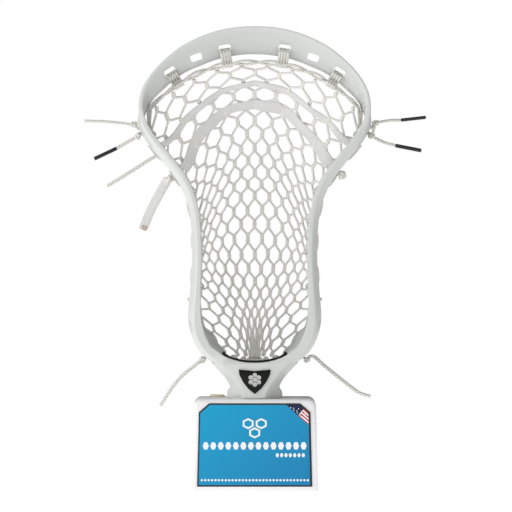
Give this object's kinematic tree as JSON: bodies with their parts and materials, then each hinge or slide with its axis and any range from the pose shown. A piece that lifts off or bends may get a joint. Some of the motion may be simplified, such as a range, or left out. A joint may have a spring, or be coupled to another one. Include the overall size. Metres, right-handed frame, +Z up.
{
  "type": "lacrosse head on display block",
  "caption": "Strung lacrosse head with a scoop, sidewalls, mesh pocket and laces, standing throat-down in a moulded display block with a printed card.",
  "frame": {"origin": "middle of the display block's underside", "axes": "+Z up along the head towards the scoop, -Y out of the open face, +X to the right as the face is looked at"},
  "size_m": [0.263, 0.0938, 0.3528],
  "materials": {
    "white_nylon": "satin moulded nylon",
    "white_block": "satin moulded plastic",
    "screw_steel": "plain steel",
    "white_cord": "braided nylon cord",
    "white_mesh": "knitted nylon mesh, lightly waxed",
    "white_lace": "flat woven lace",
    "black_foam": "closed-cell foam",
    "black_badge": "gloss black plastic",
    "silver_emblem": "bright foil",
    "blue_card": "printed card, gloss varnish",
    "black_aglet": "black plastic film",
    "clear_tip": "clear plastic film",
    "rubber_band": "natural rubber"
  },
  "bodies": {
    "display_block": {"block_housing": "white_block", "base_plate": "white_block", "support_post": "white_block", "post_screw_left": "screw_steel", "post_screw_right": "screw_steel", "label_card": "blue_card", "rubber_band": "rubber_band"},
    "head": {"head_frame": "white_nylon", "ball_stop_pad": "black_foam", "badge_plate": "black_badge", "badge_emblem": "silver_emblem", "mesh_pocket": "white_mesh", "top_string": "white_cord", "bottom_string": "white_cord", "sidewall_string_left": "white_cord", "sidewall_string_right": "white_cord", "hanger_left_inner": "white_cord", "hanger_left_outer": "white_cord", "hanger_right_inner": "white_cord", "hanger_right_outer": "white_cord", "shooting_lace_upper": "white_lace", "shooting_lace_lower": "white_lace", "knot_left_top": "white_cord", "knot_left_mid": "white_cord", "knot_left_low": "white_cord", "knot_right_top": "white_cord", "knot_right_mid": "white_cord", "knot_right_low": "white_cord", "knot_bottom_left": "white_cord", "knot_bottom_right": "white_cord", "tail_left_top": "white_cord", "tail_left_mid": "white_cord", "tail_left_low": "white_cord", "tail_bottom_left": "white_cord", "tail_right_top": "white_cord", "tail_right_mid": "white_cord", "tail_bottom_right": "white_cord", "aglet_left_mid": "black_aglet", "aglet_right_top": "black_aglet", "aglet_right_mid": "black_aglet", "string_bridge_right": "white_cord", "lace_tail_left": "white_lace", "lace_tip_left": "clear_tip"}
  },
  "joints": [
    {"name": "head_lift", "type": "slide", "parent": "display_block", "child": "head", "axis": [0, 0, 1], "range_m": [0, 0.06]}
  ]
}
